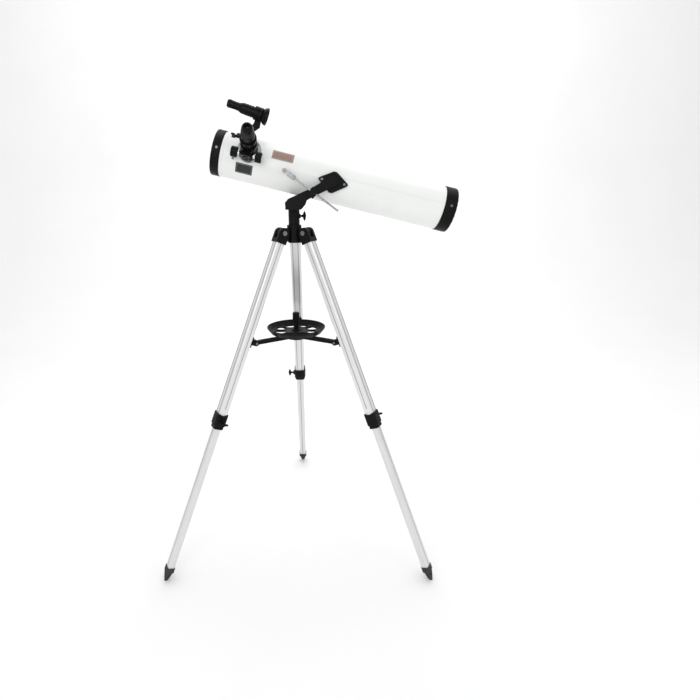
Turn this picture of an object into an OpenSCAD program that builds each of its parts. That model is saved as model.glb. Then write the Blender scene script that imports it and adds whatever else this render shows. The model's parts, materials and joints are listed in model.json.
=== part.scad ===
// Newtonian reflector telescope on an alt-azimuth fork and a three-legged
// extending tripod. Millimetres, +Z up, the floor at z = 0 and the tripod's
// centre line on the Z axis. The sky end of the tube points to -X.

/* [Tube] */
// outside diameter of the main tube
tube_d = 118; // [100:1:140]
// length over both end rings
tube_len = 660; // [600:5:720]
// wall of the rolled steel tube
tube_wall = 1.5; // [1:0.1:3]
// height of the front end above level, degrees
tube_tilt = 14.28; // [0:0.1:60]
// diameter of the main mirror
mirror_d = 76; // [60:1:90]
// diameter of the end rings
ring_d = 120.4; // [119:0.1:126]

/* [Focuser] */
// place of the focuser along the tube from its middle
focus_x = -234; // [-260:1:-200]
// angle of the focuser round the tube from the top
focus_ang = 68; // [0:1:90]
// radius of the polished flange under the focuser
flange_r = 31; // [26:0.5:36]
// outside radius of the sliding drawtube
draw_r = 18; // [16:0.1:20]

/* [Mount] */
// height of the altitude pivot
pivot_z = 1084; // [1000:1:1150]
// how far the altitude pivot stands behind the tripod's centre line
pivot_x = 104; // [60:1:140]
// inner face of each fork arm from the middle
arm_in = 66; // [62:0.5:70]
// thickness of each fork arm
arm_t = 9; // [6:0.5:14]
// outside diameter of the neck
neck_d = 31; // [26:0.5:40]
// diameter of the slow-motion rod
rod_d = 5.6; // [4:0.1:8]

/* [Tripod] */
// height of the leg hinges
hinge_z = 950; // [800:5:1100]
// distance of each leg hinge from the centre line
hinge_r = 38.8; // [34:0.1:50]
// distance of each foot from the centre line
foot_r = 430; // [380:5:480]
// width of the upper leg profile
leg_w = 30; // [26:0.5:36]
// depth of the upper leg profile
leg_t = 26; // [20:0.5:30]
// width of the lower leg profile
low_w = 23.5; // [18:0.5:28]
// depth of the lower leg profile
low_t = 19.5; // [15:0.5:24]
// distance of the clamp collar's middle down the leg
clamp_at = 548; // [480:1:600]
// distance of the brace bracket down the leg
brace_at = 313; // [250:1:400]

/* [Tray] */
// height of the tray's rim
tray_z = 678.5; // [600:1:760]
// radius of the tray's rim
tray_r = 84; // [70:0.1:95]

/* [Hidden] */
tr = tube_d / 2;
ti = tr - tube_wall;
half = tube_len / 2;
leg_a = atan((foot_r - hinge_r) / hinge_z);
leg_len = hinge_z / cos(leg_a);
rod_y = -81;
rod_a = 37.08;
ax = -18.7;
az = 1113;
rod_len = 171.3;
cx = 53;
cz = 1056.8;
tube_cx = 111;
tube_cz = 1086;
brace_x = -30;
hub_s_z = 650;
brace_r = hinge_r + brace_at * sin(leg_a) + brace_x * cos(leg_a);
brace_z = hinge_z - brace_at * cos(leg_a) + brace_x * sin(leg_a);
arm_r0 = 21;
arm_len = sqrt(pow(brace_r - arm_r0, 2) + pow(hub_s_z - brace_z, 2));
arm_ang = atan((hub_s_z - brace_z) / (brace_r - arm_r0));

black = [0.09, 0.09, 0.1];
white = [0.93, 0.93, 0.92];
silver = [0.72, 0.73, 0.74];
chrome = [0.8, 0.81, 0.82];

// frames ---------------------------------------------------------------
module in_tube() translate([tube_cx, 0, tube_cz]) rotate([0, tube_tilt, 0]) children();
module round_tube(s, ang) translate([s, 0, 0]) rotate([ang, 0, 0]) children();
module in_focus() in_tube() round_tube(focus_x, focus_ang) children();
module in_leg(a) rotate([0, 0, a]) translate([hinge_r, 0, hinge_z]) rotate([0, -leg_a, 0]) children();
module xcyl(r, x0, x1) translate([x0, 0, 0]) rotate([0, 90, 0]) cylinder(r = r, h = x1 - x0, $fn = 96);
module ycyl(r, y0, y1, f = 48) translate([0, y0, 0]) rotate([-90, 0, 0]) cylinder(r = r, h = y1 - y0, $fn = f);
module in_rod() translate([ax, rod_y, az]) rotate([0, 90 + rod_a, 0]) children();

// a rounded rectangle from plain squares and circles
module rrect(w, t, r) {
  square([w - 2 * r, t], center = true);
  square([w, t - 2 * r], center = true);
  for (i = [-1, 1]) for (j = [-1, 1]) translate([i * (w / 2 - r), j * (t / 2 - r)]) circle(r = r, $fn = 32);
}

// main tube --------------------------------------------------------------
module main_tube() color(white) in_tube() difference() {
  xcyl(tr, -half + 2, half - 4);
  xcyl(ti, -half, half);
  round_tube(focus_x, focus_ang) translate([0, 0, 40]) cylinder(r = draw_r + 1.2, h = 40, $fn = 64);
  round_tube(focus_x, focus_ang) translate([-3.4, -23, 40]) cube([6.8, 8, 40]);
  for (a = [96, 216, 336]) round_tube(-271, a) translate([0, 0, 50]) cylinder(r = 2.1, h = 15, $fn = 24);
  for (a = [-0.4, 16.4]) round_tube(-262, a) translate([0, 0, 50]) cylinder(r = 2.1, h = 15, $fn = 24);
  for (m = [0, 1]) mirror([0, m, 0]) for (s = [-34, 26]) translate([s, 0, -3.4]) ycyl(2.1, -66, -50, 24);
  translate([-132.4, 0, -5.8]) ycyl(3.1, -66, -50, 24);
  for (s = [-317, 314]) for (a = [80, 200, 320]) round_tube(s, a) translate([0, 0, 50]) cylinder(r = 2.1, h = 15, $fn = 24);
  round_tube(focus_x, focus_ang) for (a = [45, 135, 225, 315]) rotate([0, 0, a]) translate([26, 0, 30]) cylinder(r = 1.7, h = 40, $fn = 24);
}

// moulded ring over the open sky end
module front_ring() color(black) in_tube() difference() {
  rotate([0, 90, 0]) rotate_extrude($fn = 128) polygon([
    [55, -half + 1], [56, -half], [58.2, -half], [59.5, -half + 0.6], [ring_d / 2, -half + 2.4],
    [ring_d / 2, -half + 23.2], [ring_d / 2 - 0.5, -half + 23.7], [tr + 0.05, -half + 23.7], [tr + 0.05, -half + 1.95],
    [ti - 0.05, -half + 1.95], [ti - 0.05, -half + 18], [55, -half + 18]]);
  for (a = [80, 200, 320]) round_tube(-317, a) translate([0, 0, 50]) cylinder(r = 2.1, h = 15, $fn = 24);
}

// moulded cell that closes the mirror end
module rear_cell() color(black) in_tube() difference() {
  rotate([0, 90, 0]) rotate_extrude($fn = 128) polygon([
    [20, half], [58.2, half], [59.5, half - 0.6], [ring_d / 2, half - 2.4],
    [ring_d / 2, half - 32.6], [ring_d / 2 - 0.5, half - 33.1], [tr + 0.05, half - 33.1], [tr + 0.05, half - 3.95],
    [ti - 0.05, half - 3.95], [ti - 0.05, half - 22], [55, half - 22], [55, half - 4], [20, half - 4]]);
  for (a = [0, 120, 240]) round_tube(half - 6, a) translate([0, 0, 34]) rotate([0, 90, 0]) cylinder(r = 2.2, h = 10, $fn = 24);
  for (a = [60, 180, 300]) round_tube(half - 6, a) translate([0, 0, 40]) rotate([0, 90, 0]) cylinder(r = 6, h = 10, $fn = 32);
  for (a = [80, 200, 320]) round_tube(314, a) translate([0, 0, 50]) cylinder(r = 2.1, h = 15, $fn = 24);
}

module mirror_cell() color(silver) in_tube() difference() {
  union() {
    xcyl(52, 300, 304);
    difference() { xcyl(42, 288, 300.5); xcyl(mirror_d / 2 + 0.2, 280, 299); }
  }
  xcyl(12, 298, 306);
  for (a = [0, 120, 240]) round_tube(298, a) translate([0, 0, 34]) rotate([0, 90, 0]) { translate([0, 0, -14]) cylinder(r = 2.2, h = 24, $fn = 24); }
  for (a = [60, 180, 300]) round_tube(298, a) translate([0, 0, 47]) rotate([0, 90, 0]) cylinder(r = 2.5, h = 10, $fn = 24);
}

// thick glass disc with a shallow spherical face towards the sky
module primary_mirror() color([0.75, 0.85, 0.9]) in_tube() rotate([0, 90, 0]) rotate_extrude($fn = 128) polygon([
  [0, 286.52], [10, 286.48], [19, 286.39], [28, 286.24], [mirror_d / 2 - 0.5, 286], [mirror_d / 2, 286.5], [mirror_d / 2, 298.9], [0, 298.9]]);

// three long screws through the end plate, each with a rubber spring sleeve
module collimation_screws() color(chrome) in_tube()
  for (a = [0, 120, 240]) round_tube(0, a) translate([0, 0, 34]) rotate([0, 90, 0]) difference() {
    union() {
      translate([0, 0, 299.2]) cylinder(r = 2, h = 32, $fn = 24);
      translate([0, 0, half + 0.05]) cylinder(r = 5, h = 4, $fn = 32);
      translate([0, 0, 304.1]) cylinder(r = 4, h = 21.7, $fn = 32);
    }
    translate([0, 0, half + 2.5]) rotate([0, 0, 30]) cube([7, 1.2, 4], center = true);
  }

// central boss with three thin vanes to the tube wall
module spider() color(black) in_tube() difference() {
  union() {
    xcyl(9, -277, -266);
    for (a = [96, 216, 336]) round_tube(-271, a) {
      translate([-5, -0.6, 8]) cube([10, 1.2, 46.5]);
      intersection() { translate([-5, -5, 52]) cube([10, 10, 6]); rotate([0, 90, 0]) cylinder(r = ti - 0.05, h = 20, center = true, $fn = 96); }
    }
  }
  xcyl(2.2, -280, -260);
  for (a = [96, 216, 336]) round_tube(-271, a) translate([0, 0, 53]) cylinder(r = 1.9, h = 6, $fn = 24);
}

module secondary_holder() color(black) in_tube() round_tube(focus_x, focus_ang) difference() {
  union() {
    xcyl(9.5, -27, 12);
    xcyl(2, -47, -26);
    xcyl(4.5, -47, -43.2);
  }
  rotate([0, 45, 0]) translate([-60, -60, -3]) cube([120, 120, 60]);
}

module secondary_mirror() color([0.75, 0.85, 0.9]) in_tube() round_tube(focus_x, focus_ang) intersection() {
  xcyl(9.5, -30, 30);
  rotate([0, 45, 0]) translate([-60, -60, -2.95]) cube([120, 120, 2.95]);
}

// focuser ------------------------------------------------------------------
module focuser_flange() color(silver) in_focus() difference() {
  translate([0, 0, 48]) cylinder(r = flange_r, h = 16, $fn = 96);
  xcyl(tr + 0.05, -50, 50);
  cylinder(r = draw_r + 1, h = 80, $fn = 64);
  translate([-3.2, -22.8, 30]) cube([6.4, 8, 60]);
  for (a = [45, 135, 225, 315]) rotate([0, 0, a]) translate([26, 0, 30]) cylinder(r = 1.7, h = 40, $fn = 24);
}

module focuser_housing() color(black) in_focus() difference() {
  union() {
    translate([0, 0, 64.05]) cylinder(r = 22.5, h = 5, $fn = 96);
    translate([0, 0, 64.05]) cylinder(r = 20.8, h = 38, $fn = 96);
    translate([-11, -33, 68]) cube([22, 20, 30]);
  }
  translate([0, 0, 60]) cylinder(r = draw_r + 0.06, h = 50, $fn = 96);
  translate([-3.2, -22.8, 60]) cube([6.4, 8, 50]);
  translate([0, -25, 86]) xcyl(6.1, -6, 6);
  translate([0, -25, 86]) xcyl(3.05, -20, 20);
  translate([-6.6, -25, 79.9]) cube([13.2, 6, 12.2]);
}

// sliding tube with its rack and the collar that takes the eyepiece
module drawtube() color(silver) in_focus() difference() {
  union() {
    translate([0, 0, 52]) cylinder(r = draw_r, h = 62, $fn = 96);
    translate([0, 0, 113]) cylinder(r = 21, h = 14, $fn = 96);
    translate([-2.8, -19.9, 62]) cube([5.6, 3, 50]);
    for (i = [0 : 14]) translate([-2.8, -21.1, 62.6 + i * 3.35]) cube([5.6, 2, 1.6]);
  }
  translate([0, 0, 40]) cylinder(r = 15.95, h = 100, $fn = 96);
  translate([0, 0, 120]) rotate([0, -90, 0]) cylinder(r = 2.1, h = 30, $fn = 24);
}

// pinion shaft with its two grip wheels
module focuser_knobs() color(black) in_focus() translate([0, -25, 86]) {
  xcyl(3, -40, 40);
  xcyl(3.8, -5.5, 5.5);
  for (m = [0, 1]) mirror([m, 0, 0]) difference() {
    union() { xcyl(5.5, 16, 24.1); xcyl(13.5, 24, 38); xcyl(12, 37.9, 39.5); }
    for (a = [0 : 20 : 340]) rotate([a, 0, 0]) translate([22, 0, 13.9]) rotate([0, 90, 0]) cylinder(r = 0.9, h = 18, $fn = 16);
  }
}

module eyepiece_lock_screw() color(chrome) in_focus() translate([0, 0, 120]) {
  xcyl(2, -30, -16.3);
  xcyl(3.6, -30, -22);
  difference() {
    union() {
      translate([-42, -2, -3.2]) cube([13, 4, 6.4]);
      translate([-42, -2, -9]) cube([9, 4, 18]);
    }
    translate([-46, 0, 0]) rotate([90, 0, 0]) cylinder(r = 7, h = 10, center = true, $fn = 32);
  }
}

module eyepiece() color(black) in_focus() difference() {
  rotate_extrude($fn = 96) polygon([
    [13.6, 97], [15.85, 97], [15.85, 127.05], [17, 127.05], [17.6, 128], [17.6, 134], [17, 134.6], [17, 136], [17.6, 136.6],
    [17.6, 144], [16.6, 150], [15.8, 158], [15, 168], [13.8, 174], [12, 178.5], [9.8, 181.3], [8, 182.2], [6.5, 181.8],
    [7.5, 176], [9.1, 170], [9.1, 160], [11.5, 159], [11.5, 110], [13.6, 110]]);
}

module eyepiece_lens() color([0.7, 0.8, 0.9]) in_focus() {
  rotate_extrude($fn = 64) polygon([[0, 160.2], [9, 160.2], [9, 163], [7, 164.1], [4.5, 164.9], [2, 165.3], [0, 165.4]]);
  translate([0, 0, 112]) cylinder(r = 11.4, h = 4.5, $fn = 64);
}

// finder ----------------------------------------------------------------
module in_finder() in_tube() round_tube(0, 8) translate([-262, 0, 122.8]) rotate([0, 5.6, 0]) children();

module finder_bracket() color(black) in_tube() round_tube(-262, 8) difference() {
  union() {
    intersection() { translate([-17, -15, 50]) cube([34, 30, 13]); rotate([0, 90, 0]) cylinder(r = tr + 3.5, h = 60, center = true, $fn = 96); }
    rotate([90, 0, 0]) linear_extrude(height = 9, center = true) polygon([[-8, 60], [10, 60], [37, 87], [37, 104], [22, 106], [19, 93], [-4, 70]]);
    translate([0, 0, 122.8]) rotate([0, 5.6, 0]) xcyl(17.6, 17, 38);
  }
  rotate([0, 90, 0]) cylinder(r = tr + 0.05, h = 80, center = true, $fn = 96);
  translate([0, 0, 122.8]) rotate([0, 5.6, 0]) xcyl(14.05, -80, 80);
  for (a = [-8.4, 8.4]) rotate([a, 0, 0]) { translate([0, 0, 50]) cylinder(r = 2.1, h = 14, $fn = 24); translate([0, 0, tr + 3.1]) cylinder(r = 3.7, h = 6, $fn = 32); }
}
module finder_tube() color(black) in_finder() rotate([0, 90, 0]) rotate_extrude($fn = 96) polygon([
  [5, -57], [8.7, -57], [10.3, -55.6], [10.3, -36], [9.6, -35.4], [9.6, -34], [10.3, -33.4], [10.3, -26], [14, -16], [14, 38.4],
  [16, 38.4], [16.6, 40], [19.6, 42.4], [21.6, 46], [22.6, 50], [22.6, 51.6], [21, 52], [18, 47], [15.2, 43.6], [13, 42],
  [12, 40], [12, 37], [11.5, 37], [11.5, -14], [7.6, -22], [7.6, -49], [6.6, -49], [5, -54]]);

module finder_objective() color([0.7, 0.8, 0.9]) in_finder() {
  translate([37.1, 0, 0]) rotate([0, 90, 0]) cylinder(r = 11.9, h = 3.2, $fn = 64);
  translate([-48.9, 0, 0]) rotate([0, 90, 0]) cylinder(r = 7.5, h = 3, $fn = 64);
}

// fastenings on the tube ----------------------------------------------------
module diamond() {
  polygon([[-40, 0], [-36, -5], [-4, -29], [4, -29], [36, -5], [40, 0], [36, 5], [4, 26], [-4, 26], [-36, 5]]);
}
module trunnion_plates() color(black) in_tube() for (m = [0, 1]) mirror([0, m, 0]) difference() {
  translate([-4, -49, -3.4]) rotate([90, 0, 0]) linear_extrude(height = 14) diamond();
  xcyl(tr + 0.05, -60, 60);
  for (s = [-34, 26]) translate([s, 0, -3.4]) ycyl(2.1, -66, -40, 24);
  // the bore the altitude pivot turns in, placed on the pivot line
  rotate([0, -tube_tilt, 0]) translate([pivot_x - tube_cx, 0, pivot_z - tube_cz]) ycyl(5.05, -66, -40);
}

module pan(r0, len, r) { translate([0, 0, r0 - len]) cylinder(r = r, h = len + 0.2, $fn = 24); difference() { translate([0, 0, r0 + 0.05]) cylinder(r = r * 1.8, h = 2, $fn = 32); translate([0, 0, r0 + 1.8]) { cube([r * 2.4, 0.8, 1.6], center = true); cube([0.8, r * 2.4, 1.6], center = true); } } }

module tube_screws() color(chrome) in_tube() {
  for (a = [96, 216, 336]) round_tube(-271, a) pan(tr, 5.4, 1.8);
  for (a = [80, 200, 320]) { round_tube(-317, a) pan(ring_d / 2, 4.6, 1.8); round_tube(314, a) pan(ring_d / 2, 4.6, 1.8); }
  for (a = [-0.4, 16.4]) round_tube(-262, a) pan(tr + 3.1, 6.1, 1.8);
  for (m = [0, 1]) mirror([0, m, 0]) for (s = [-34, 26]) translate([s, 0, -3.4]) rotate([90, 0, 0]) pan(63, 8, 1.8);
  round_tube(focus_x, focus_ang) for (a = [45, 135, 225, 315]) rotate([0, 0, a]) translate([26, 0, 0]) pan(64, 9, 1.5);
}

// shoulder bolt that carries the slow-motion rod's eye
module rod_bolt() color(chrome) translate([ax, 0, az]) {
  ycyl(3, -84.2, -56.6);
  ycyl(6, -78.1, -59.1);
  ycyl(5.6, -87.6, -84.1, 32);
}

// fork ------------------------------------------------------------------------
module fork_side() polygon([[-20.4, 1032], [-19.4, 1021.6], [-8, 1014.1], [22, 1014.1], [31, 1025], [35, 1036], [45.4, 1042.3],
  [104 + 4.8, pivot_z - 12.5], [pivot_x - 6, pivot_z + 12], [50.6, 1069], [32.3, 1061.5], [8.8, 1051], [-12, 1042]]);
module fork() color(black) difference() {
  union() {
    for (m = [0, 1]) mirror([0, m, 0]) translate([0, -arm_in, 0]) rotate([90, 0, 0]) linear_extrude(height = arm_t) fork_side();
    for (m = [0, 1]) mirror([0, m, 0]) translate([pivot_x, 0, pivot_z]) ycyl(16, -arm_in - arm_t, -arm_in, 64);
    translate([-20, -arm_in - 1, 1014.1]) cube([42, 2 * arm_in + 2, 11.5]);
    translate([1, 0, 1014.1]) cylinder(r = 21, h = 11.5, $fn = 64);
  }
  for (m = [0, 1]) mirror([0, m, 0]) translate([pivot_x, 0, pivot_z]) ycyl(5.1, -arm_in - arm_t - 1, -arm_in + 1);
  translate([cx, 0, cz]) ycyl(5.05, -arm_in - arm_t - 1, -arm_in + 1);
  translate([0, 0, 1010]) cylinder(r = 5.1, h = 20, $fn = 48);
  // recess for the bolt's head under the tube
  translate([0, 0, 1022.6]) cylinder(r = 9.2, h = 10, $fn = 48);
}

// steel shaft under the fork that turns in the neck, with its fixing bolt
module azimuth_shaft() color(silver) {
  translate([0, 0, 940]) cylinder(r = 11, h = 74, $fn = 96);
  translate([0, 0, 1013.9]) cylinder(r = 5, h = 8.75, $fn = 48);
  translate([0, 0, 1022.65]) cylinder(r = 8.8, h = 2.9, $fn = 6);
}

module pivot_bolts() color(black) for (m = [0, 1]) mirror([0, m, 0]) translate([pivot_x, 0, pivot_z]) {
  ycyl(5, -76, -59.6);
  ycyl(14.6, -78.2, -75.05, 64);
  ycyl(12.6, -79.4, -78.1, 64);
}

// swivelling block on the fork arm; its tall slot lets the rod pass
module rod_clamp() color(black) translate([cx, 0, cz]) rotate([0, rod_a, 0]) difference() {
  union() {
    ycyl(5, -76, -63.8);
    ycyl(8.5, -65.7, -63.8, 48);
    translate([-9.5, -90, -12.5]) cube([19, 14.7, 25]);
    ycyl(11, -78, -75.3, 64);
  }
  translate([-12, -84.6, -8.3]) cube([24, 7.2, 16.6]);
  ycyl(2.1, -95, -82, 24);
}

module rod_clamp_knob() color(black) translate([cx, 0, cz]) difference() {
  union() { ycyl(2, -92, -84.9, 24); ycyl(8, -99, -90.3); }
  for (a = [0 : 45 : 315]) rotate([0, a, 0]) translate([9, 0, 0]) ycyl(2.2, -100, -89, 24);
}

module slow_motion_rod() color(chrome) {
  translate([ax, 0, az]) difference() { ycyl(7, -83.6, -78.4); ycyl(3.1, -90, -70); }
  in_rod() translate([0, 0, 6.6]) cylinder(r = rod_d / 2, h = rod_len - 6.6, $fn = 48);
}

module rod_sleeve() color(chrome) in_rod() difference() {
  union() { translate([0, 0, 12]) cylinder(r = 7.2, h = 19, $fn = 12); translate([0, 0, 30.9]) cylinder(r = 5.2, h = 3.5, $fn = 48); }
  cylinder(r = rod_d / 2 + 0.06, h = 60, $fn = 48);
}

// tripod head ------------------------------------------------------------------
module hub() color(black) difference() {
  union() {
    translate([0, 0, 924]) cylinder(r = 20, h = 47, $fn = 64);
    for (a = [90, 210, 330]) rotate([0, 0, a]) {
      translate([0, -7, hinge_z - 13]) cube([hinge_r, 14, 26]);
      translate([hinge_r, 0, hinge_z]) ycyl(13, -7, 7);
    }
  }
  translate([0, 0, 936]) cylinder(r = 11.06, h = 50, $fn = 96);
  translate([0, 0, 961]) cylinder(r = 15.55, h = 20, $fn = 96);
  for (a = [90, 210, 330]) rotate([0, 0, a]) translate([hinge_r, 0, hinge_z]) ycyl(4.05, -20, 20);
}

module neck() color(black) difference() {
  union() {
    translate([0, 0, 961.05]) cylinder(r = neck_d / 2, h = 52.9, $fn = 96);
    translate([12, 0, 995]) rotate([0, 90, 0]) cylinder(r = 6, h = 6.5, $fn = 48);
  }
  translate([0, 0, 950]) cylinder(r = 11.06, h = 70, $fn = 96);
  translate([8, 0, 995]) rotate([0, 90, 0]) cylinder(r = 3.05, h = 20, $fn = 32);
}

module wing(w) {
  // a leaf-shaped head standing out along +X from its shank
  r = (w * w / 4 + 20.25) / 9;
  intersection() {
    translate([r - 0.5, 0, 0]) rotate([90, 0, 0]) cylinder(r = r, h = 4.4, center = true, $fn = 96);
    translate([8.5 - r, 0, 0]) rotate([90, 0, 0]) cylinder(r = r, h = 4.4, center = true, $fn = 96);
    translate([-1, -3, -w / 2 + 1.5]) cube([11, 6, w - 3]);
  }
  translate([-2, 0, 0]) rotate([0, 90, 0]) cylinder(r = 4.2, h = 8, $fn = 32);
}
module azimuth_lock_screw() color(black) translate([0, 0, 995]) {
  xcyl(3, 11.5, 25);
  translate([25, 0, 0]) wing(29);
}

module hinge_bolts() color(chrome) for (a = [90, 210, 330]) rotate([0, 0, a]) translate([hinge_r, 0, hinge_z]) {
  ycyl(4, -18, 18);
  for (m = [0, 1]) mirror([0, m, 0]) ycyl(6.4, -20.4, -17.55, 32);
}

// one leg ------------------------------------------------------------------------
module leg_socket(a) color(black) in_leg(a) difference() {
  union() {
    for (m = [0, 1]) mirror([0, m, 0]) {
      translate([0, -17.5, 0]) rotate([-90, 0, 0]) cylinder(r = 15, h = 9.8, $fn = 64);
      translate([-15, -17.5, -27]) cube([30, 9.8, 27]);
    }
    translate([-15, -17.5, -29]) cube([30, 35, 12.5]);
  }
  ycyl(4.05, -20, 20);
  translate([0, 0, -40]) linear_extrude(height = 22) rotate(90) rrect(leg_w + 0.3, leg_t + 0.3, 5);
}

module upper_leg(a) color(silver) in_leg(a) difference() {
  translate([0, 0, -clamp_at - 12]) linear_extrude(height = clamp_at + 12 - 18.1) rotate(90) rrect(leg_w, leg_t, 5);
  translate([0, 0, -clamp_at - 20]) linear_extrude(height = clamp_at + 20) rotate(90) rrect(leg_w - 3, leg_t - 3, 3.6);
  translate([0, 0, -clamp_at]) rotate([-90, 0, 0]) cylinder(r = 3.4, h = 30, $fn = 32);
}

// moulded collar that steadies the lower leg and holds the clamp screw
module clamp(a) color(black) in_leg(a) translate([0, 0, -clamp_at]) difference() {
  union() {
    translate([0, 0, -13]) linear_extrude(height = 34) rotate(90) rrect(leg_w + 7, leg_t + 7, 8);
    translate([0, 0, -23]) linear_extrude(height = 12) rotate(90) rrect(low_w + 9, low_t + 9, 7);
    rotate([-90, 0, 0]) cylinder(r = 8, h = 23, $fn = 48);
  }
  translate([0, 0, -12.1]) linear_extrude(height = 60) rotate(90) rrect(leg_w + 0.2, leg_t + 0.2, 5.1);
  translate([0, 0, -40]) linear_extrude(height = 60) rotate(90) rrect(low_w + 0.8, low_t + 0.8, 4.2);
  rotate([-90, 0, 0]) cylinder(r = 3.05, h = 40, $fn = 32);
  // scooped upper edge
  translate([0, 0, 34]) rotate([90, 0, 0]) cylinder(r = 16, h = 60, center = true, $fn = 64);
}

module clamp_screw(a) color(black) in_leg(a) translate([0, 0, -clamp_at]) {
  rotate([0, 0, 90]) { xcyl(3, 12.2, 33); translate([31.5, 0, 0]) rotate([a == 90 ? 0 : 90, 0, 0]) wing(30); }
}

module lower_leg(a) color(silver) in_leg(a) difference() {
  translate([0, 0, -leg_len + 32.1]) linear_extrude(height = leg_len - 32.1 - clamp_at + 60) rotate(90) rrect(low_w, low_t, 4);
  translate([0, 0, -leg_len]) linear_extrude(height = leg_len) rotate(90) rrect(low_w - 3, low_t - 3, 2.6);
}

module foot(a) color(black) difference() {
  in_leg(a) {
    translate([0, 0, -leg_len + 27]) difference() {
      linear_extrude(height = 14) rotate(90) rrect(low_w + 3.6, low_t + 3.6, 5.6);
      translate([0, 0, 5.05]) linear_extrude(height = 30) rotate(90) rrect(low_w + 0.1, low_t + 0.1, 4.05);
    }
    translate([0, 0, -leg_len - 3]) cylinder(r1 = 4.4, r2 = 13.3, h = 33, $fn = 64);
  }
  translate([-600, -600, -60]) cube([1200, 1200, 60]);
}

module brace_bracket(a) color(black) in_leg(a) translate([0, 0, -brace_at]) difference() {
  union() {
    translate([-leg_t / 2 - 3.1, -12, -15]) cube([3.05, 24, 30]);
    for (m = [0, 1]) mirror([0, m, 0]) translate([0, 6.3, 0]) {
      translate([brace_x, 0, 0]) rotate([-90, 0, 0]) cylinder(r = 8, h = 3.5, $fn = 48);
      translate([brace_x, 0, -8]) cube([15, 3.5, 16]);
    }
    translate([brace_x, 0, 0]) ycyl(3, -10.6, 10.6, 32);
    for (m = [0, 1]) mirror([0, m, 0]) translate([brace_x, 0, 0]) ycyl(4.6, 9.7, 11.4, 32);
  }
  for (z = [-11.6, 11.6]) translate([0, 0, z]) rotate([0, -90, 0]) cylinder(r = 1.6, h = 40, $fn = 24);
}

// flat brace arm from its bracket to the slotted centre
module brace_arm(a) color(black) rotate([0, 0, a]) translate([brace_r, 0, brace_z]) rotate([0, arm_ang, 0]) difference() {
  union() {
    translate([-arm_len, -5.8, -5.5]) cube([arm_len, 11.6, 11]);
    ycyl(5.5, -5.8, 5.8);
    translate([-arm_len, 0, 0]) ycyl(5.5, -5.8, 5.8);
  }
  ycyl(3.05, -10, 10, 32);
  translate([-arm_len + 16, -3.6, 2]) cube([arm_len - 34, 7.2, 10]);
  translate([-arm_len + 16, -3.6, -12]) cube([arm_len - 34, 7.2, 10]);
}

// slotted centre of the brace, bolted under the tray
module brace_hub() color(black) difference() {
  union() {
    translate([0, 0, hub_s_z - 5.5]) cylinder(r = 29, h = 14.5, $fn = 96);
    translate([0, 0, hub_s_z - 9]) cylinder(r = 9, h = 5, $fn = 64);
  }
  for (a = [90, 210, 330]) rotate([0, 0, a]) translate([9.4, -6.2, hub_s_z - 20]) cube([30, 12.4, 60]);
  translate([0, 0, hub_s_z - 30]) cylinder(r = 3.05, h = 60, $fn = 32);
}

module tray() color(black) difference() {
  union() {
    rotate_extrude($fn = 128) polygon([
      [0, hub_s_z + 9.05], [24, hub_s_z + 9.05], [26, 664], [70, 664], [71.5, 662], [74, 662], [83, 674], [tray_r, tray_z - 2], [tray_r, tray_z],
      [tray_r - 2, tray_z], [80.5, 675.5], [72, 667], [13, 667], [12, 671], [0, 671]]);
  }
  for (a = [0 : 45 : 315]) rotate([0, 0, a + 22.5]) translate([49, 0, 650]) cylinder(r = a % 90 == 0 ? 16.6 : 14, h = 40, $fn = 64);
  translate([0, 0, 640]) cylinder(r = 3.05, h = 60, $fn = 32);
}

module tray_knob() color(black) difference() {
  union() {
    translate([0, 0, hub_s_z - 8.5]) cylinder(r = 3, h = 38, $fn = 32);
    translate([0, 0, 671.05]) cylinder(r = 7, h = 30, $fn = 48);
    translate([0, 0, 698]) cylinder(r = 10, h = 21, $fn = 64);
    translate([0, 0, 718.9]) cylinder(r = 8.5, h = 1.6, $fn = 64);
  }
  for (a = [0 : 30 : 330]) rotate([0, 0, a]) translate([10.6, 0, 701]) cylinder(r = 1.2, h = 30, $fn = 24);
}

main_tube();
front_ring();
rear_cell();
primary_mirror();
mirror_cell();
collimation_screws();
spider();
secondary_holder();
secondary_mirror();
focuser_flange();
focuser_housing();
drawtube();
focuser_knobs();
eyepiece_lock_screw();
eyepiece();
eyepiece_lens();
finder_bracket();
finder_tube();
finder_objective();
trunnion_plates();
tube_screws();
rod_bolt();
fork();
azimuth_shaft();
pivot_bolts();
rod_clamp();
rod_clamp_knob();
slow_motion_rod();
rod_sleeve();
hub();
neck();
azimuth_lock_screw();
hinge_bolts();
leg_socket(210);  // leg_socket_left
upper_leg(210);  // upper_leg_left
clamp(210);  // clamp_left
clamp_screw(210);  // clamp_screw_left
lower_leg(210);  // lower_leg_left
foot(210);  // foot_left
brace_bracket(210);  // brace_bracket_left
brace_arm(210);  // brace_arm_left
leg_socket(330);  // leg_socket_right
upper_leg(330);  // upper_leg_right
clamp(330);  // clamp_right
clamp_screw(330);  // clamp_screw_right
lower_leg(330);  // lower_leg_right
foot(330);  // foot_right
brace_bracket(330);  // brace_bracket_right
brace_arm(330);  // brace_arm_right
leg_socket(90);  // leg_socket_back
upper_leg(90);  // upper_leg_back
clamp(90);  // clamp_back
clamp_screw(90);  // clamp_screw_back
lower_leg(90);  // lower_leg_back
foot(90);  // foot_back
brace_bracket(90);  // brace_bracket_back
brace_arm(90);  // brace_arm_back
tray();
tray_knob();
brace_hub();
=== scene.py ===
import bpy, bmesh, json, math
from math import sin, cos, pi, radians, sqrt, atan2
from mathutils import Matrix, Vector

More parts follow.
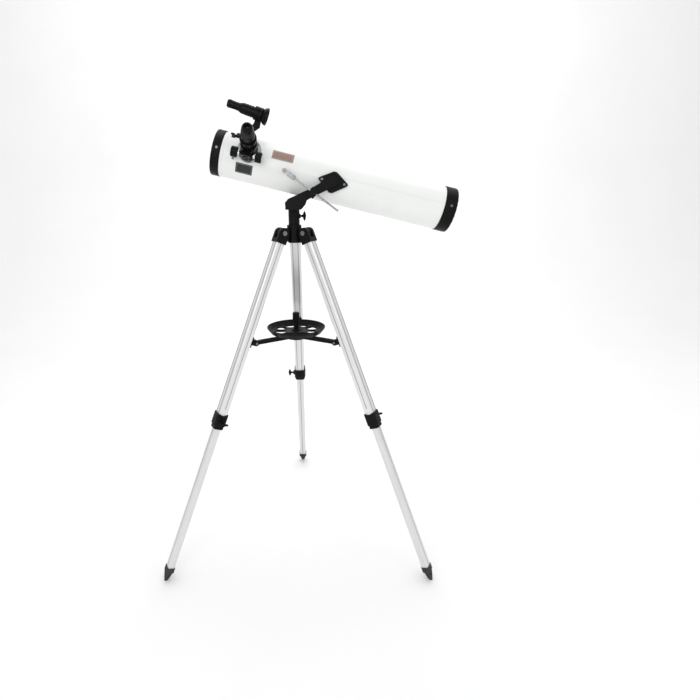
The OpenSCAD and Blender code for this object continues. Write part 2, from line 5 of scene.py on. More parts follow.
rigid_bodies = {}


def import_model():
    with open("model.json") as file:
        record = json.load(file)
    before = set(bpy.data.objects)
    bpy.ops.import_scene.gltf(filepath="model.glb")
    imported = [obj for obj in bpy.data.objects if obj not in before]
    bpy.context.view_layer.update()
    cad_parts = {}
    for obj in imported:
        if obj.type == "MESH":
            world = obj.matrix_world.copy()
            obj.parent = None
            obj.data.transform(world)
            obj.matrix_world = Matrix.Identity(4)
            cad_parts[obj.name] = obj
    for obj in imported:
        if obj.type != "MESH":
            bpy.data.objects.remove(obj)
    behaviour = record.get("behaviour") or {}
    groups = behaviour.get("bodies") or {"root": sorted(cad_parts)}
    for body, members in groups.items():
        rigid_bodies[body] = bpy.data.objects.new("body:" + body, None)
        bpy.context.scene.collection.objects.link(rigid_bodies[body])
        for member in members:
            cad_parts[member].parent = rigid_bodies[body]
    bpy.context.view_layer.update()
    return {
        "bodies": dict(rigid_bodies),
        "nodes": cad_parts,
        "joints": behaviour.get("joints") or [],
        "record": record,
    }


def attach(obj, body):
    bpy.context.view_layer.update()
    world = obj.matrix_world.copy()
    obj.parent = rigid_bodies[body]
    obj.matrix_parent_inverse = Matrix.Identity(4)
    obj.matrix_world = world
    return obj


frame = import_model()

N = frame["nodes"]
scene = bpy.context.scene
scene.view_settings.view_transform = "Standard"
scene.view_settings.look = "None"

# ---------------------------------------------------------------- frames
TILT = radians(14.28)
TUBE = Matrix.Translation((0.111, 0, 1.086)) @ Matrix.Rotation(TILT, 4, "Y")
LEG_A = math.atan((0.430 - 0.0388) / 0.950)
LEG_LEN = 0.950 / cos(LEG_A)
LEGS = {"left": 210, "right": 330, "back": 90}


def round_tube(s, ang):
    return TUBE @ Matrix.Translation((s, 0, 0)) @ Matrix.Rotation(radians(ang), 4, "X")


FOCUS = round_tube(-0.234, 68)
FINDER = round_tube(0, 8) @ Matrix.Translation((-0.262, 0, 0.1228)) @ Matrix.Rotation(radians(5.6), 4, "Y")


def leg_frame(a):
    return (Matrix.Rotation(radians(a), 4, "Z") @ Matrix.Translation((0.0388, 0, 0.950))
            @ Matrix.Rotation(-LEG_A, 4, "Y"))


ROD_A = radians(37.08)
ROD = Matrix.Translation((-0.0187, -0.081, 1.113)) @ Matrix.Rotation(pi / 2 + ROD_A, 4, "Y")
CLAMP = Matrix.Translation((0.053, 0, 1.0568)) @ Matrix.Rotation(ROD_A, 4, "Y")
PIVOT = Matrix.Translation((0.104, 0, 1.084))

# ---------------------------------------------------------------- materials
class M:
    """A principled material whose variation comes from noise in the row frame."""

    def __init__(self, name, color, rough, metal=0.0, frame=None, spec=0.5):
        self.m = bpy.data.materials.new(name)
        self.m.use_nodes = True
        self.t = self.m.node_tree
        self.b = self.t.nodes["Principled BSDF"]
        self.b.inputs["Base Color"].default_value = (*color, 1)
        self.b.inputs["Roughness"].default_value = rough
        self.b.inputs["Metallic"].default_value = metal
        self.b.inputs["Specular IOR Level"].default_value = spec
        co = self.t.nodes.new("ShaderNodeTexCoord")
        self.co = co.outputs["Object"]
        self.frame = frame
        self.color, self.rough = color, rough
        self.height = None

    def node(self, kind, **kw):
        n = self.t.nodes.new(kind)
        for k, v in kw.items():
            setattr(n, k, v)
        return n

    def link(self, a, b):
        self.t.links.new(a, b)

    def vec(self, scale=(1, 1, 1), rot=None, loc=(0, 0, 0), src=None):
        n = self.node("ShaderNodeMapping")
        n.vector_type = "POINT"
        n.inputs["Scale"].default_value = scale
        if rot is not None:
            n.inputs["Rotation"].default_value = rot
        n.inputs["Location"].default_value = loc
        self.link(src or self.co, n.inputs["Vector"])
        return n.outputs["Vector"]

    def noise(self, vec, scale, detail=3.0, rough=0.55, distort=0.0):
        n = self.node("ShaderNodeTexNoise")
        n.inputs["Scale"].default_value = scale
        n.inputs["Detail"].default_value = detail
        n.inputs["Roughness"].default_value = rough
        n.inputs["Distortion"].default_value = distort
        self.link(vec, n.inputs["Vector"])
        return n.outputs["Fac"]

    def voronoi(self, vec, scale, feature="F1"):
        n = self.node("ShaderNodeTexVoronoi", feature=feature)
        n.inputs["Scale"].default_value = scale
        self.link(vec, n.inputs["Vector"])
        return n.outputs["Distance"]

    def math(self, op, a, b=None, c=None):
        n = self.node("ShaderNodeMath", operation=op)
        for i, v in enumerate((a, b, c)):
            if v is None:
                continue
            if isinstance(v, (int, float)):
                n.inputs[i].default_value = v
            else:
                self.link(v, n.inputs[i])
        return n.outputs[0]

    def ramp(self, fac, stops):
        n = self.node("ShaderNodeValToRGB")
        e = n.color_ramp.elements
        while len(e) > 1:
            e.remove(e[-1])
        e[0].position = stops[0][0]
        e[0].color = stops[0][1]
        for p, c in stops[1:]:
            x = e.new(p)
            x.color = c
        self.link(fac, n.inputs["Fac"])
        return n.outputs["Color"]

    def mix(self, fac, a, b):
        n = self.node("ShaderNodeMix", data_type="RGBA")
        if isinstance(fac, (int, float)):
            n.inputs["Factor"].default_value = fac
        else:
            self.link(fac, n.inputs["Factor"])
        for sock, v in ((n.inputs[6], a), (n.inputs[7], b)):
            if isinstance(v, tuple):
                sock.default_value = (*v[:3], 1)
            else:
                self.link(v, sock)
        return n.outputs[2]

    def set_color(self, sock):
        self.link(sock, self.b.inputs["Base Color"])

    def set_rough(self, fac, lo, hi):
        n = self.node("ShaderNodeMapRange")
        n.inputs["To Min"].default_value = lo
        n.inputs["To Max"].default_value = hi
        self.link(fac, n.inputs["Value"])
        self.link(n.outputs["Result"], self.b.inputs["Roughness"])

    def bump(self, fac, dist, strength=1.0):
        n = self.node("ShaderNodeBump")
        n.inputs["Distance"].default_value = dist
        n.inputs["Strength"].default_value = strength
        self.link(fac, n.inputs["Height"])
        if self.height is not None:
            self.link(self.height, n.inputs["Normal"])
        self.height = n.outputs["Normal"]
        self.link(self.height, self.b.inputs["Normal"])

    def coat(self, w, r=0.08):
        self.b.inputs["Coat Weight"].default_value = w
        self.b.inputs["Coat Roughness"].default_value = r


def v4(c, a=1):
    return (c[0], c[1], c[2], a)


def enamel():
    m = M("white_enamel", (0.86, 0.865, 0.855), 0.22)
    big = m.noise(m.vec(), 9, 4)
    m.set_color(m.ramp(big, [(0.3, v4((0.80, 0.815, 0.80))), (0.7, v4((0.85, 0.86, 0.845)))]))
    fine = m.noise(m.vec(), 420, 2)
    m.set_rough(m.noise(m.vec(), 55, 4), 0.26, 0.40)
    m.bump(fine, 0.00012, 0.35)
    m.bump(m.noise(m.vec(), 28, 2), 0.0006, 0.12)
    m.coat(0.12, 0.12)
    return m.m


def black_plastic(name="black_plastic", base=0.0035, rough=0.42, grain=900, depth=0.00016, strength=0.55):
    m = M(name, (base, base, base * 1.06), rough, 0.0, None, 0.12)
    blot = m.noise(m.vec(), 22, 5)
    m.set_color(m.ramp(blot, [(0.25, v4((base * 0.75, base * 0.75, base * 0.8))), (0.75, v4((base * 1.45, base * 1.45, base * 1.5)))]))
    m.set_rough(m.noise(m.vec(), 60, 4), rough - 0.07, rough + 0.10)
    m.bump(m.voronoi(m.vec(), grain), depth, strength)
    m.bump(m.noise(m.vec(), 35, 3), 0.0005, 0.15)
    return m.m


def rubber():
    m = M("foot_rubber", (0.022, 0.022, 0.022), 0.75)
    m.set_color(m.ramp(m.noise(m.vec(), 60, 5), [(0.3, v4((0.014, 0.014, 0.014))), (0.75, v4((0.045, 0.043, 0.04)))]))
    m.set_rough(m.noise(m.vec(), 140, 4), 0.62, 0.88)
    m.bump(m.noise(m.vec(), 1500, 2), 0.0002, 0.6)
    return m.m


def chrome(name="bright_metal", col=(0.78, 0.79, 0.8), lo=0.08, hi=0.2):
    m = M(name, col, (lo + hi) / 2, 1.0)
    m.set_color(m.ramp(m.noise(m.vec(), 70, 4), [(0.3, v4(tuple(c * 0.93 for c in col))), (0.7, v4(tuple(min(1, c * 1.05) for c in col)))]))
    m.set_rough(m.noise(m.vec(), 180, 5), lo, hi)
    m.bump(m.noise(m.vec(), 900, 3), 0.00006, 0.35)
    return m.m


def turned_steel():
    m = M("turned_steel", (0.56, 0.56, 0.57), 0.32, 1.0)
    m.set_color(m.ramp(m.noise(m.vec((8, 400, 400)), 4, 4), [(0.3, v4((0.48, 0.48, 0.49))), (0.7, v4((0.64, 0.64, 0.65)))]))
    m.set_rough(m.noise(m.vec(), 120, 4), 0.24, 0.42)
    m.bump(m.noise(m.vec((8, 500, 500)), 5, 3), 0.0001, 0.4)
    return m.m


def leg_metal(name, a, shade=0.78):
    """Drawn aluminium: fine streaks along the leg. The dark lines at both edges are painted shade, coloured onto
    separate ribs in the leg loop.
    """
    m = M("leg_metal_" + name, (shade, shade, shade * 1.01), 0.34, 0.55)
    Mi = leg_frame(a).inverted()
    e = Mi.to_euler("XYZ")
    v = m.vec((1, 1, 1), tuple(e), tuple(Mi.to_translation()))
    streak = m.noise(m.vec((260, 260, 2.2), src=v), 4, 4, 0.6)
    blot = m.noise(v, 12, 4)
    col = m.ramp(streak, [(0.25, v4((shade * 0.80, shade * 0.80, shade * 0.81))), (0.75, v4((shade * 1.06,) * 3))])
    col = m.mix(m.math("MULTIPLY", blot, 0.22), col, (shade * 0.7, shade * 0.7, shade * 0.71))
    m.set_color(col)
    m.set_rough(streak, 0.24, 0.42)
    m.bump(streak, 0.0001, 0.5)
    return m.m


def lens_glass():
    m = M("coated_glass", (0.72, 0.80, 0.92), 0.03, 0.0)
    m.b.inputs["Transmission Weight"].default_value = 0.85
    m.b.inputs["IOR"].default_value = 1.52
    m.set_color(m.ramp(m.noise(m.vec(), 30, 3), [(0.3, v4((0.55, 0.45, 0.80))), (0.7, v4((0.60, 0.78, 0.95)))]))
    m.set_rough(m.noise(m.vec(), 90, 3), 0.01, 0.06)
    m.coat(0.5, 0.03)
    return m.m


def silvered():
    m = M("silvered_face", (0.9, 0.92, 0.93), 0.03, 1.0)
    m.set_color(m.ramp(m.noise(m.vec(), 40, 3), [(0.3, v4((0.86, 0.88, 0.9))), (0.7, v4((0.93, 0.94, 0.95)))]))
    m.set_rough(m.noise(m.vec(), 200, 4), 0.015, 0.06)
    return m.m


def label(name, col, sheen):
    m = M(name, col, 0.3, sheen)
    m.set_color(m.ramp(m.noise(m.vec((3, 3, 40), tuple(TUBE.inverted().to_euler("XYZ"))), 30, 4),
                       [(0.3, v4(tuple(c * 0.86 for c in col))), (0.7, v4(tuple(min(1, c * 1.16) for c in col)))]))
    m.set_rough(m.noise(m.vec(), 150, 4), 0.24, 0.42)
    m.bump(m.noise(m.vec(), 700, 2), 0.00008, 0.4)
    return m.m


MAT = {
    "enamel": enamel(),
    "plastic": black_plastic(),
    "gloss": black_plastic("black_gloss", 0.003, 0.26, 1200, 0.0001, 0.35),
    "leather": black_plastic("black_crackle", 0.0055, 0.5, 620, 0.0003, 0.7),
    "rubber": rubber(),
    "chrome": chrome(),
    "satin": chrome("satin_metal", (0.66, 0.67, 0.68), 0.2, 0.34),
    "steel": turned_steel(),
    "screw": chrome("screw_steel", (0.20, 0.20, 0.205), 0.22, 0.38),
    "rod": chrome("rod_steel", (0.42, 0.425, 0.43), 0.2, 0.34),
    "glass": lens_glass(),
    "mirror": silvered(),
}
for n_, a_ in LEGS.items():
    MAT["up_" + n_] = leg_metal("up_" + n_, a_, 0.86)
    MAT["low_" + n_] = leg_metal("low_" + n_, a_, 0.80)

USE = {
    "main_tube": "enamel", "primary_mirror": "mirror", "secondary_mirror": "mirror",
    "eyepiece_lens": "glass", "finder_objective": "glass", "mirror_cell": "steel", "azimuth_shaft": "steel",
    "collimation_screws": "chrome", "tube_screws": "screw", "rod_bolt": "screw", "slow_motion_rod": "rod",
    "rod_sleeve": "rod", "hinge_bolts": "screw", "eyepiece_lock_screw": "gloss", "focuser_flange": "rod",
    "drawtube": "gloss", "eyepiece": "gloss", "focuser_housing": "gloss", "finder_tube": "gloss",
    "focuser_knobs": "gloss",
}
for n_ in LEGS:
    USE["upper_leg_" + n_] = "up_" + n_
    USE["lower_leg_" + n_] = "low_" + n_
    USE["foot_" + n_] = "rubber"

FINE = {"tube_screws", "finder_objective", "eyepiece_lens", "primary_mirror", "secondary_mirror", "spider"}
for name, ob in N.items():
    ob.data.materials.clear()
    ob.data.materials.append(MAT[USE.get(name, "plastic")])
    w = ob.modifiers.new("weld", "WELD")
    w.merge_threshold = 0.00001
    b = ob.modifiers.new("edge", "BEVEL")
    b.width = 0.0003 if name in FINE else 0.0007
    b.segments = 2
    b.limit_method = "ANGLE"
    b.angle_limit = radians(38)
    b.use_clamp_overlap = True
    b.harden_normals = False
    for p in ob.data.polygons:
        p.use_smooth = True
    s = ob.modifiers.new("normals", "WEIGHTED_NORMAL")
    s.keep_sharp = True

# the inner wall of the tube is blackened
ob = N["main_tube"]
ob.data.materials.append(MAT["leather"])
TI = TUBE.inverted() @ ob.matrix_world
TN = TI.to_3x3()
for p in ob.data.polygons:
    c, n = TI @ p.center, TN @ p.normal
    if n.y * c.y + n.z * c.z < -0.02:
        p.material_index = 1

# ---------------------------------------------------------------- piece builders
def add(name, bm, frame, mat, body, bevel=0.0003, smooth=True, segs=2, angle=40):
    bmesh.ops.recalc_face_normals(bm, faces=bm.faces)
    me = bpy.data.meshes.new(name)
    bm.to_mesh(me)
    bm.free()
    me.transform(frame)
    if frame.determinant() < 0:
        me.flip_normals()
    for p in me.polygons:
        p.use_smooth = smooth
    me.materials.append(mat)
    o = bpy.data.objects.new(name, me)
    scene.collection.objects.link(o)
    if bevel:
        b = o.modifiers.new("edge", "BEVEL")
        b.width = bevel
        b.segments = segs
        b.limit_method = "ANGLE"
        b.angle_limit = radians(angle)
    s = o.modifiers.new("normals", "WEIGHTED_NORMAL")
    s.keep_sharp = True
    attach(o, body)
    return o


def lathe(bm, prof, n=48, a0=0.0, a1=2 * pi, axis="Z", mat=None):
    """Turns a profile of (radius, height) pairs; closed when it starts and ends on the axis."""
    full = abs(a1 - a0 - 2 * pi) < 1e-6
    rings = []
    cnt = n if full else n + 1
    for i in range(cnt):
        a = a0 + (a1 - a0) * i / n
        row = []
        for r, h in prof:
            v = Vector((r * cos(a), r * sin(a), h))
            if axis == "X":
                v = Vector((v.z, v.x, v.y))
            elif axis == "Y":
                v = Vector((v.y, v.z, v.x))
            row.append(bm.verts.new(mat @ v if mat else v))
        rings.append(row)
    m = len(prof)
    for i in range(cnt if full else cnt - 1):
        A, B2 = rings[i], rings[(i + 1) % cnt]
        for j in range(m):
            k = (j + 1) % m
            if prof[j][0] < 1e-9 and prof[k][0] < 1e-9:
                continue
            try:
                bm.faces.new((A[j], A[k], B2[k], B2[j]))
            except ValueError:
                pass
    if not full:
        for row in (rings[0], rings[-1]):
            bm.faces.new(row)
    bmesh.ops.remove_doubles(bm, verts=bm.verts, dist=1e-7)
    bmesh.ops.dissolve_degenerate(bm, edges=bm.edges, dist=1e-8)


def block(bm, x0, x1, y0, y1, z0, z1, mat=None):
    vs = []
    for z in (z0, z1):
        for x, y in ((x0, y0), (x1, y0), (x1, y1), (x0, y1)):
            v = Vector((x, y, z))
            vs.append(bm.verts.new(mat @ v if mat else v))
    for f in ((0, 3, 2, 1), (4, 5, 6, 7), (0, 1, 5, 4), (1, 2, 6, 5), (2, 3, 7, 6), (3, 0, 4, 7)):
        bm.faces.new([vs[i] for i in f])


def curved(bm, s0, s1, a0, a1, r0, r1, ns=2, na=16):
    """A slab bent round the tube axis: along X, from angle a0 to a1 from the top towards the camera."""
    def pt(s, a, r):
        return Vector((s, -r * sin(a), r * cos(a)))
    g = {}
    for k, r in enumerate((r0, r1)):
        for i in range(ns + 1):
            for j in range(na + 1):
                g[k, i, j] = bm.verts.new(pt(s0 + (s1 - s0) * i / ns, radians(a0 + (a1 - a0) * j / na), r))
    for i in range(ns):
        for j in range(na):
            bm.faces.new((g[1, i, j], g[1, i + 1, j], g[1, i + 1, j + 1], g[1, i, j + 1]))
            bm.faces.new((g[0, i, j], g[0, i, j + 1], g[0, i + 1, j + 1], g[0, i + 1, j]))
    for i in range(ns):
        bm.faces.new((g[0, i, 0], g[0, i + 1, 0], g[1, i + 1, 0], g[1, i, 0]))
        bm.faces.new((g[0, i, na], g[1, i, na], g[1, i + 1, na], g[0, i + 1, na]))
    for j in range(na):
        bm.faces.new((g[0, 0, j], g[1, 0, j], g[1, 0, j + 1], g[0, 0, j + 1]))
        bm.faces.new((g[0, ns, j], g[0, ns, j + 1], g[1, ns, j + 1], g[1, ns, j]))


def rivet(bm, mat, r, h):
    lathe(bm, [(0, 0), (r, 0), (r, h * 0.45), (r * 0.86, h * 0.8), (r * 0.55, h), (0, h)], 24, mat=mat)


mm = 0.001

# ---------------------------------------------------------------- tube and labels
COPPER = label("copper_label", (0.30, 0.205, 0.165), 0.25)
INK = label("black_label", (0.005, 0.0065, 0.006), 0.0)
PALE = label("pale_label", (0.56, 0.55, 0.52), 0.6)
bm = bmesh.new()
curved(bm, -0.174, -0.117, 49, 73, 0.05895, 0.05935)
add("label_copper", bm, TUBE, COPPER, "tube", 0.0001)
bm = bmesh.new()
for s0, s1, a0, a1 in ((-0.171, -0.120, 50.6, 51.2), (-0.171, -0.120, 70.8, 71.4), (-0.171, -0.1704, 50.6, 71.4), (-0.1206, -0.120, 50.6, 71.4)):
    curved(bm, s0, s1, a0, a1, 0.0592, 0.05945)
add("label_copper_border", bm, TUBE, PALE, "tube", 0)
bm = bmesh.new()
curved(bm, -0.261, -0.2165, 103, 130, 0.05895, 0.05935)
add("label_black", bm, TUBE, INK, "tube", 0.0001)
bm = bmesh.new()
for s0, s1, a0, a1 in ((-0.2585, -0.219, 105, 105.6), (-0.2585, -0.219, 127.4, 128), (-0.2585, -0.258, 105, 128), (-0.2195, -0.219, 105, 128)):
    curved(bm, s0, s1, a0, a1, 0.0592, 0.05942)
add("label_black_border", bm, TUBE, MAT["rod"], "tube", 0)

# a rolled bead behind each end ring, and the lock seam along the underside
for k, s in enumerate((-0.3000, 0.2905)):
    bm = bmesh.new()
    lathe(bm, [(0.0588, s - 0.0022), (0.0592, s - 0.0016), (0.0595, s - 0.0006), (0.0595, s + 0.0006), (0.0592, s + 0.0016), (0.0588, s + 0.0022)], 128, axis="X")
    add("tube_bead_%d" % k, bm, TUBE, MAT["enamel"], "tube", 0)
bm = bmesh.new()
curved(bm, -0.300, 0.290, 190.5, 193.5, 0.0588, 0.05945, 2, 6)
add("tube_seam", bm, TUBE, MAT["enamel"], "tube", 0.0002)

# grip ribs round both end rings
for nm, s0, s1 in (("front_ring_ribs", -0.3255, -0.3085), ("rear_cell_ribs", 0.3005, 0.3255)):
    bm = bmesh.new()
    for k in range(3):
        s = s0 + (s1 - s0) * (k + 0.5) / 3
        if k == 1:
            continue
        lathe(bm, [(0.0600, s - 0.0012), (0.0605, s - 0.0008), (0.0605, s + 0.0008), (0.0600, s + 0.0012)], 128, axis="X")
    add(nm, bm, TUBE, MAT["plastic"], "tube", 0)

# flutes and a dished centre on the end plate
bm = bmesh.new()
for k in range(24):
    a = 2 * pi * k / 24
    rot = Matrix.Rotation(a, 4, "X")
    block(bm, 0.3295, 0.3312, -0.0009, 0.0009, 0.0475, 0.0568, rot)
lathe(bm, [(0.0415, 0.3295), (0.0425, 0.3310), (0.0440, 0.3310), (0.0450, 0.3295)], 96, axis="X")
lathe(bm, [(0.0205, 0.3295), (0.0212, 0.3312), (0.0240, 0.3312), (0.0250, 0.3295)], 96, axis="X")
add("end_plate_ribs", bm, TUBE, MAT["plastic"], "tube", 0.0002)

# ---------------------------------------------------------------- finder
bm = bmesh.new()
for k in range(12):
    a = 2 * pi * k / 12
    block(bm, 0.0503, 0.0515, -0.0011, 0.0011, 0.0205, 0.0226, Matrix.Rotation(a, 4, "X"))
lathe(bm, [(0.0139, -0.0062), (0.0147, -0.0058), (0.0147, -0.0030), (0.0139, -0.0026)], 64, axis="X")
lathe(bm, [(0.0139, 0.0008), (0.0147, 0.0012), (0.0147, 0.0040), (0.0139, 0.0044)], 64, axis="X")
lathe(bm, [(0.0139, 0.0078), (0.0147, 0.0082), (0.0147, 0.0110), (0.0139, 0.0114)], 64, axis="X")
lathe(bm, [(0.0102, -0.0530), (0.0108, -0.0526), (0.0108, -0.0470), (0.0102, -0.0466)], 64, axis="X")
add("finder_rings", bm, FINDER, MAT["gloss"], "tube", 0.0002)
bm = bmesh.new()
for a in (60, 180, 300):
    m = Matrix.Translation((0.0275, 0, 0)) @ Matrix.Rotation(radians(a), 4, "X")
    lathe(bm, [(0, 0.0170), (0.0012, 0.0170), (0.0012, 0.0196), (0.0030, 0.0198), (0.0032, 0.0204), (0.0032, 0.0230), (0.0028, 0.0236), (0, 0.0236)], 20, mat=m)
add("finder_adjusters", bm, FINDER, MAT["gloss"], "tube", 0.0001)
bm = bmesh.new()
for a in (60, 180, 300):
    m = Matrix.Translation((0.0275, 0, 0)) @ Matrix.Rotation(radians(a), 4, "X")
    for k in range(10):
        b = 2 * pi * k / 10
        block(bm, 0.0030, 0.00345, -0.0003, 0.0003, 0.0205, 0.0229, m @ Matrix.Rotation(b, 4, "Z"))
add("finder_adjuster_knurls", bm, FINDER, MAT["gloss"], "tube", 0)
# strengthening rib down the finder's stalk
bm = bmesh.new()
SB = round_tube(-0.262, 8)
for y in (-0.0052, 0.0044):
    for p, q in (((-3, 69), (19, 90.5)), ((9, 62), (36, 88))):
        d = Vector((q[0] - p[0], 0, q[1] - p[1])) * mm
        ang = atan2(-d.z, d.x)
        m = Matrix.Translation((p[0] * mm, 0, p[1] * mm)) @ Matrix.Rotation(ang, 4, "Y")
        block(bm, 0.002, d.length - 0.002, y, y + 0.0008, -0.0012, 0.0012, m)
add("finder_stalk_ribs", bm, SB, MAT["plastic"], "tube", 0.0002)

# ---------------------------------------------------------------- focuser
bm = bmesh.new()
lathe(bm, [(0.0207, 0.0735), (0.0213, 0.0738), (0.0213, 0.0752), (0.0207, 0.0755)], 72)
lathe(bm, [(0.0207, 0.0975), (0.0214, 0.0978), (0.0214, 0.1004), (0.0207, 0.1007)], 72)
add("focuser_body_rings", bm, FOCUS, MAT["gloss"], "tube", 0)
bm = bmesh.new()
for sx in (-1, 1):
    for z in (0.0745, 0.0930):
        rivet(bm, Matrix.Translation((sx * 0.0078, -0.0329, z)) @ Matrix.Rotation(pi / 2, 4, "X"), 0.0020, 0.0013)
add("focuser_plate_screws", bm, FOCUS, MAT["screw"], "tube", 0)
bm = bmesh.new()
block(bm, -0.0095, 0.0095, -0.0341, -0.0329, 0.0785, 0.0895)
add("pinion_cover", bm, FOCUS, MAT["gloss"], "tube", 0.0004)
# pale bands between the grips of the focus wheels
bm = bmesh.new()
for m_ in (-1, 1):
    lathe(bm, [(0.0052, m_ * 0.0225), (0.0064, m_ * 0.0225), (0.0064, m_ * 0.0175), (0.0052, m_ * 0.0175)], 40, axis="X", mat=Matrix.Translation((0, -0.025, 0.086)))
    lathe(bm, [(0, m_ * 0.0394), (0.0070, m_ * 0.0394), (0.0076, m_ * 0.0398), (0.0062, m_ * 0.0404), (0, m_ * 0.0404)], 40, axis="X", mat=Matrix.Translation((0, -0.025, 0.086)))
add("focus_wheel_caps", bm, FOCUS, MAT["satin"], "focus_wheel", 0)
# eyecup folds and eyepiece grip ribs
bm = bmesh.new()
for k in range(40):
    a = 2 * pi * k / 40
    block(bm, 0.0174, 0.0180, -0.0005, 0.0005, 0.1288, 0.1334, Matrix.Rotation(a, 4, "Z"))
add("eyepiece_grip", bm, FOCUS, MAT["gloss"], "ocular", 0.0001)
bm = bmesh.new()
for z, r in ((0.1525, 0.0168), (0.1575, 0.0162), (0.1625, 0.0158)):
    lathe(bm, [(r - 0.0006, z - 0.0013), (r, z - 0.0008), (r, z + 0.0008), (r - 0.0006, z + 0.0013)], 64)
add("eyecup_folds", bm, FOCUS, MAT["rubber"], "ocular", 0)
bm = bmesh.new()
for z in (0.1145, 0.1245):
    lathe(bm, [(0.0208, z - 0.0008), (0.0213, z - 0.0005), (0.0213, z + 0.0005), (0.0208, z + 0.0008)], 64)
add("drawtube_collar_rings", bm, FOCUS, MAT["gloss"], "draw", 0)

# ---------------------------------------------------------------- legs
STRIP = {}
for n_, a_ in LEGS.items():
    L = leg_frame(a_)
    # painted shade: a much darker aluminium for the edge ribs, standing in for the shaded lines along the leg edges
    edge = M("leg_edge_painted_shade_" + n_, (0.36, 0.36, 0.37), 0.38, 0.8)
    e_ = L.inverted().to_euler("XYZ")
    vv = edge.vec((1, 1, 1), tuple(e_), tuple(L.inverted().to_translation()))
    st = edge.noise(edge.vec((260, 260, 2.2), src=vv), 4, 4)
    edge.set_color(edge.ramp(st, [(0.25, v4((0.30, 0.30, 0.31))), (0.75, v4((0.46, 0.46, 0.47)))]))
    edge.set_rough(st, 0.28, 0.48)
    edge.bump(st, 0.0001, 0.5)
    # drawn ribs near both edges of each broad face and one on each narrow face, coloured dark as painted shade along
    # the leg edges
    bm = bmesh.new()
    for x in (-0.0130, 0.0130):
        sx = 1 if x > 0 else -1
        for y in (-0.0078, 0.0078):
            block(bm, x - 0.0004, x + 0.0004 + 0.0003 * sx, y - 0.0011, y + 0.0011, -0.545, -0.020)
    for y in (-0.0150, 0.0150):
        block(bm, -0.0011, 0.0011, y - 0.0005, y + 0.0005, -0.512, -0.020)
    add("upper_leg_ribs_" + n_, bm, L, edge.m, "leg_" + n_, 0.0002)
    bm = bmesh.new()
    for x in (-0.00975, 0.00975):
        block(bm, x - 0.0003, x + 0.0003, -0.0011, 0.0011, -LEG_LEN + 0.043, -0.573)
    add("lower_leg_ribs_" + n_, bm, L, edge.m, "low_" + n_, 0.0001)
    # rivets that fix the socket and the brace bracket
    bm = bmesh.new()
    for y in (-1, 1):
        rivet(bm, L @ Matrix.Translation((-0.030, y * 0.0114, -0.313)) @ Matrix.Rotation(-y * pi / 2, 4, "X"), 0.0034, 0.0016)
        rivet(bm, L @ Matrix.Translation((-0.0160, 0, -0.313 + y * 0.0116)) @ Matrix.Rotation(-pi / 2, 4, "Y"), 0.0028, 0.0014)
    add("bracket_rivets_" + n_, bm, Matrix(), MAT["screw"], "leg_" + n_, 0)
    # raised rims of the clamp collar
    bm = bmesh.new()
    C_ = L @ Matrix.Translation((0, 0, -0.548))
    for x in (-1, 1):
        for z in (-0.0085, -0.003, 0.0025, 0.008, 0.0135):
            block(bm, x * 0.0162, x * 0.0171, -0.0100, 0.0100, z - 0.0011, z + 0.0011, C_)
    for z in (-0.0085, -0.003, 0.0025, 0.008, 0.0135):
        block(bm, -0.0085, 0.0085, -0.0182, -0.0191, z - 0.0011, z + 0.0011, C_)
    add("clamp_ribs_" + n_, bm, Matrix(), MAT["plastic"], "leg_" + n_, 0.0002)
    # tread rings on the foot
    bm = bmesh.new()
    F_ = L @ Matrix.Translation((0, 0, -LEG_LEN))
    for z, r in ((0.0090, 0.00764), (0.0140, 0.00899), (0.0190, 0.01033), (0.0240, 0.01168)):
        lathe(bm, [(r - 0.0010, z - 0.0012), (r + 0.0004, z - 0.0007), (r + 0.0004, z + 0.0007), (r - 0.0010, z + 0.0012)], 40, mat=F_)
    add("foot_rings_" + n_, bm, Matrix(), MAT["rubber"], "low_" + n_, 0)

# ---------------------------------------------------------------- tray, brace and hub
bm = bmesh.new()
for k in range(8):
    a = radians(45 * k + 22.5)
    r = (16.6 if k % 2 == 0 else 14) * mm
    c_ = Matrix.Translation((0.049 * cos(a), 0.049 * sin(a), 0.667))
    lathe(bm, [(r + 0.0003, -0.0003), (r + 0.0007, 0.0011), (r + 0.0018, 0.0011), (r + 0.0023, -0.0003)], 48, mat=c_)
add("tray_hole_rims", bm, Matrix(), MAT["leather"], "tray_body", 0)
bm = bmesh.new()
for k in range(8):
    block(bm, 0.030, 0.0680, -0.0010, 0.0010, 0.6614, 0.6642, Matrix.Rotation(radians(45 * k), 4, "Z"))
lathe(bm, [(0.0272, 0.6642), (0.0276, 0.6614), (0.0290, 0.6614), (0.0294, 0.6642)], 96)
lathe(bm, [(0.0672, 0.6642), (0.0672, 0.6612), (0.0686, 0.6612), (0.0686, 0.6642)], 96)
add("tray_underside_ribs", bm, Matrix(), MAT["plastic"], "tray_body", 0.0002)
bm = bmesh.new()
lathe(bm, [(0.0836, 0.6758), (0.0844, 0.6761), (0.0848, 0.6768), (0.0848, 0.6778), (0.0844, 0.6786), (0.0836, 0.6788), (0.0828, 0.6784), (0.0828, 0.6764)], 128)
add("tray_rim_bead", bm, Matrix(), MAT["plastic"], "tray_body", 0)
bm = bmesh.new()
for a in (30, 150, 270):
    for s in (-1, 0, 1):
        block(bm, 0.0288, 0.0296, -0.0012 + s * 0.0065, 0.0012 + s * 0.0065, 0.6455, 0.6580, Matrix.Rotation(radians(a), 4, "Z"))
add("brace_hub_ribs", bm, Matrix(), MAT["plastic"], "tray_body", 0.0002)

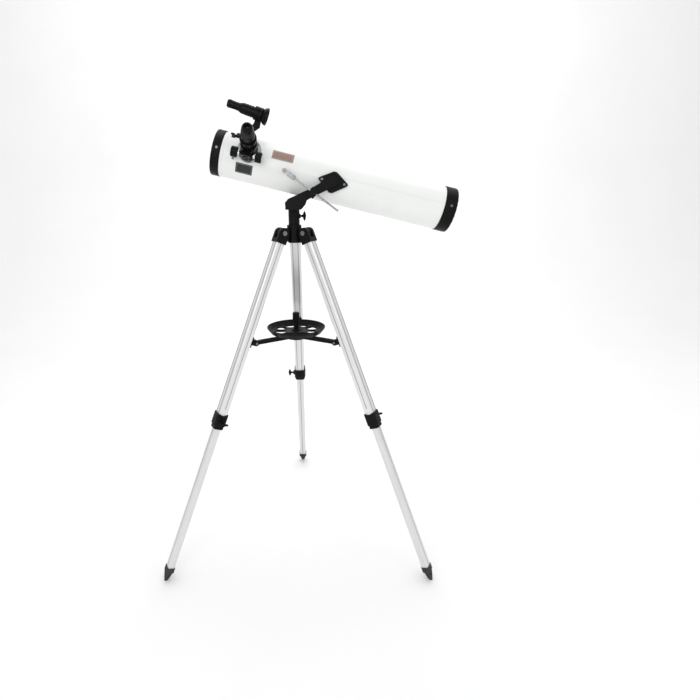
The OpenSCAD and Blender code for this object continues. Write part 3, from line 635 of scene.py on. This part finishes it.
# ---------------------------------------------------------------- fork and head
bm = bmesh.new()
for (x0, z0), (x1, z1) in (((66, 1054.8), (99, 1070.4)), ((63, 1073.0), (92, 1089.8)), ((-13, 1025.5), (-13, 1036.5)), ((-4, 1018.2), (20, 1018.2))):
    d = Vector((x1 - x0, 0, z1 - z0)) * mm
    m = Matrix.Translation((x0 * mm, 0, z0 * mm)) @ Matrix.Rotation(atan2(-d.z, d.x), 4, "Y")
    for y in (-0.0756, 0.0748):
        block(bm, 0, d.length, y, y + 0.0008, -0.0010, 0.0010, m)
add("fork_ribs", bm, Matrix(), MAT["leather"], "mount", 0.0002)

# ---------------------------------------------------------------- stage, light, camera
def area(name, loc, target, size, power, color=(1, 1, 1), size_y=None):
    d = bpy.data.lights.new(name, "AREA")
    d.energy = power
    d.color = color
    d.shape = "RECTANGLE"
    d.size = size
    d.size_y = size_y or size
    o = bpy.data.objects.new(name, d)
    scene.collection.objects.link(o)
    o.location = loc
    o.rotation_euler = (Vector(target) - Vector(loc)).to_track_quat("-Z", "Y").to_euler()
    return o


def stage():
    bm = bmesh.new()
    w, d0, d1, r, h = 6.0, -3.0, 3.2, 1.4, 4.5
    rows = [(d0, 0.0), (d1 - r, 0.0)]
    for i in range(1, 17):
        t = i / 16 * pi / 2
        rows.append((d1 - r + r * sin(t), r - r * cos(t)))
    rows.append((d1, h))
    prev = None
    for y, z in rows:
        cur = [bm.verts.new((x, y, z - 0.0002)) for x in (-w, 0, w)]
        if prev:
            for i in range(2):
                bm.faces.new((prev[i], prev[i + 1], cur[i + 1], cur[i]))
        prev = cur
    me = bpy.data.meshes.new("floor")
    bm.to_mesh(me)
    bm.free()
    for p in me.polygons:
        p.use_smooth = True
    o = bpy.data.objects.new("floor", me)
    scene.collection.objects.link(o)
    m = M("pale_floor", (0.9, 0.9, 0.9), 0.6)
    m.set_color(m.ramp(m.noise(m.vec(), 3, 3), [(0.3, v4((0.935, 0.935, 0.935))), (0.7, v4((0.95, 0.95, 0.95)))]))
    me.materials.append(m.m)


stage()
world = bpy.data.worlds.new("studio")
scene.world = world
world.use_nodes = True
bg = world.node_tree.nodes["Background"]
bg.inputs[0].default_value = (1, 1, 1, 1)
bg.inputs[1].default_value = 0.74
area("key", (-0.7, -3.0, 1.9), (0.05, 0, 0.9), 1.8, 24)
area("fill", (2.4, -2.2, 1.8), (0.05, 0, 0.8), 2.0, 8)
area("top", (0.1, 0.3, 3.4), (0.1, 0, 0.8), 2.4, 8)
area("back", (0.2, 1.2, 3.6), (0, 3.2, 1.2), 3.0, 44)

cam = bpy.data.cameras.new("cam")
cam.sensor_width = 36
cam.lens = 486.40 / 700 * 36
cam.shift_x = (350 - 309.54) / 700
cam.shift_y = (310.29 - 350) / 700
cam.clip_start = 0.05
cam.clip_end = 50
co = bpy.data.objects.new("cam", cam)
scene.collection.objects.link(co)
p_, r_, a_ = radians(13.28), radians(-0.74), radians(0.74)
R = Vector((cos(a_), sin(a_), 0))
Fh = Vector((-sin(a_), cos(a_), 0))
F = cos(p_) * Fh - sin(p_) * Vector((0, 0, 1))
U = sin(p_) * Fh + cos(p_) * Vector((0, 0, 1))
R2 = cos(r_) * R + sin(r_) * U
U2 = cos(r_) * U - sin(r_) * R
B = -F
co.matrix_world = Matrix(((R2.x, U2.x, B.x, 0.0574), (R2.y, U2.y, B.y, -1.3725), (R2.z, U2.z, B.z, 1.050), (0, 0, 0, 1)))
scene.camera = co
